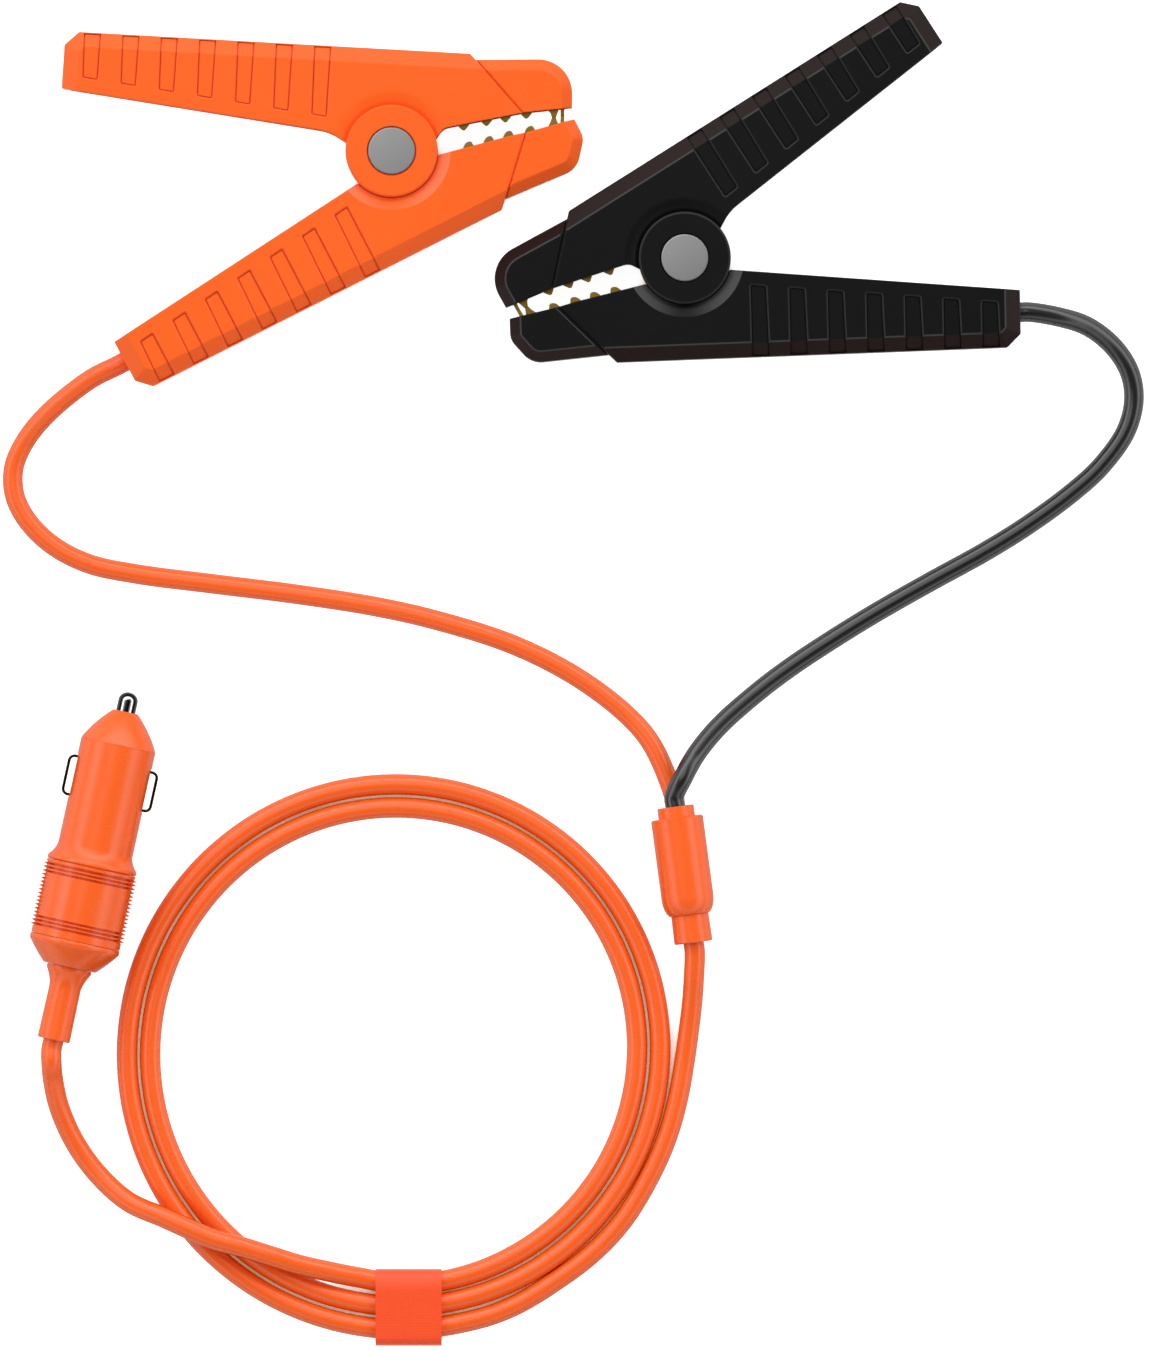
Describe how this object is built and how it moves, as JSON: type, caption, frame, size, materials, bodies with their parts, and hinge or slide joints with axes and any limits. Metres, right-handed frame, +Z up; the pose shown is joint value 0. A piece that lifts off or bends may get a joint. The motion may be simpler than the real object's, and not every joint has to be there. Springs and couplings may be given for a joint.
{
  "type": "battery clamp charging cable set",
  "caption": "Charging cable set for a car battery: sprung orange and black clamps, leads, a Y splitter, a strapped coil of orange cord and a plug for a car socket.",
  "frame": {"origin": "on the surface that the set lies on, under the middle of the box round the clamps, plug, splitter and strap, without the free cords", "axes": "+Z up, +Y from the strapped coil towards the clamps, +X from the plug towards the splitter"},
  "size_m": [0.3191, 0.3752, 0.028],
  "materials": {
    "orange_plastic": "satin moulded plastic",
    "black_plastic": "satin moulded plastic",
    "orange_gloss": "smooth moulded plastic",
    "orange_cord": "smooth cord jacket",
    "black_cord": "smooth cord jacket",
    "nickel": "nickel plated",
    "spring_steel": "bright wire",
    "brass": "stamped sheet",
    "strap_fabric": "woven band",
    "natural_plastic": "plain moulded plastic",
    "fuse_glass": "clear",
    "copper": "bare copper"
  },
  "bodies": {
    "cable_set": {"black_cable_lug": "brass", "black_clamp_cable": "black_cord", "black_lead": "black_cord", "black_lower_handle": "black_plastic", "black_lower_jaw": "brass", "black_lower_nose": "black_plastic", "black_lug_rivet": "nickel", "black_pivot_cap": "nickel", "black_pivot_pin": "nickel", "black_spring_sleeve": "natural_plastic", "black_torsion_spring": "spring_steel", "coil_strap": "strap_fabric", "cord_coil": "orange_cord", "main_cord": "orange_cord", "orange_cable_lug": "brass", "orange_clamp_cable": "orange_cord", "orange_lead": "orange_cord", "orange_lower_handle": "orange_plastic", "orange_lower_jaw": "brass", "orange_lower_nose": "orange_plastic", "orange_lug_rivet": "nickel", "orange_pivot_cap": "nickel", "orange_pivot_pin": "nickel", "orange_spring_sleeve": "natural_plastic", "orange_torsion_spring": "spring_steel", "plug_barrel": "orange_gloss", "plug_boot": "orange_gloss", "plug_cable_end": "orange_cord", "plug_cord": "orange_cord", "plug_core": "natural_plastic", "plug_grip_sleeve": "orange_gloss", "plug_ground_ring": "brass", "plug_ground_wire": "copper", "plug_rear_contact": "brass", "plug_tail": "orange_gloss", "plug_tip_spring": "spring_steel", "splitter_black_splice": "copper", "splitter_bottom_shell": "orange_gloss", "splitter_cord_end": "orange_cord", "splitter_orange_splice": "copper", "splitter_top_shell": "orange_gloss"},
    "orange_squeeze_handle": {"orange_upper_handle": "orange_plastic", "orange_upper_nose": "orange_plastic", "orange_upper_jaw": "brass"},
    "black_squeeze_handle": {"black_upper_handle": "black_plastic", "black_upper_nose": "black_plastic", "black_upper_jaw": "brass"},
    "plug_tip": {"plug_tip_contact": "nickel", "plug_fuse_front_cap": "nickel", "plug_fuse_glass": "fuse_glass", "plug_fuse_rear_cap": "nickel"},
    "plug_left_spring": {"plug_side_contact_left": "nickel"},
    "plug_right_spring": {"plug_side_contact_right": "nickel"},
    "plug_nose": {"plug_nose_cap": "orange_gloss"}
  },
  "joints": [
    {"name": "orange_squeeze", "type": "hinge", "parent": "cable_set", "child": "orange_squeeze_handle", "pos_m": [-0.0373, 0.1459, 0.014], "axis": [0, 0, 1], "range_deg": [0, 35], "stiffness_Nm_per_rad": 1.5, "springref_deg": -51.57, "deforming": ["orange_torsion_spring"]},
    {"name": "black_squeeze", "type": "hinge", "parent": "cable_set", "child": "black_squeeze_handle", "pos_m": [0.0447, 0.116, 0.014], "axis": [0, 0, -1], "range_deg": [0, 16], "stiffness_Nm_per_rad": 1.5, "springref_deg": -51.57, "deforming": ["black_torsion_spring"]},
    {"name": "tip_press", "type": "slide", "parent": "cable_set", "child": "plug_tip", "axis": [-0.2147, -0.9767, 0], "range_m": [0, 0.003], "stiffness_N_per_m": 300, "springref_m": -0.002, "deforming": ["plug_tip_spring"]},
    {"name": "left_spring_press", "type": "slide", "parent": "cable_set", "child": "plug_left_spring", "axis": [0.9767, -0.2147, 0], "range_m": [0, 0.002], "stiffness_N_per_m": 400, "springref_m": -0.001},
    {"name": "right_spring_press", "type": "slide", "parent": "cable_set", "child": "plug_right_spring", "axis": [-0.9767, 0.2147, 0], "range_m": [0, 0.002], "stiffness_N_per_m": 400, "springref_m": -0.001},
    {"name": "nose_cap_turn", "type": "hinge", "parent": "cable_set", "child": "plug_nose", "pos_m": [-0.11289, -0.01598, 0.01285], "axis": [0.2147, 0.9767, 0], "range_deg": [0, 720]}
  ]
}
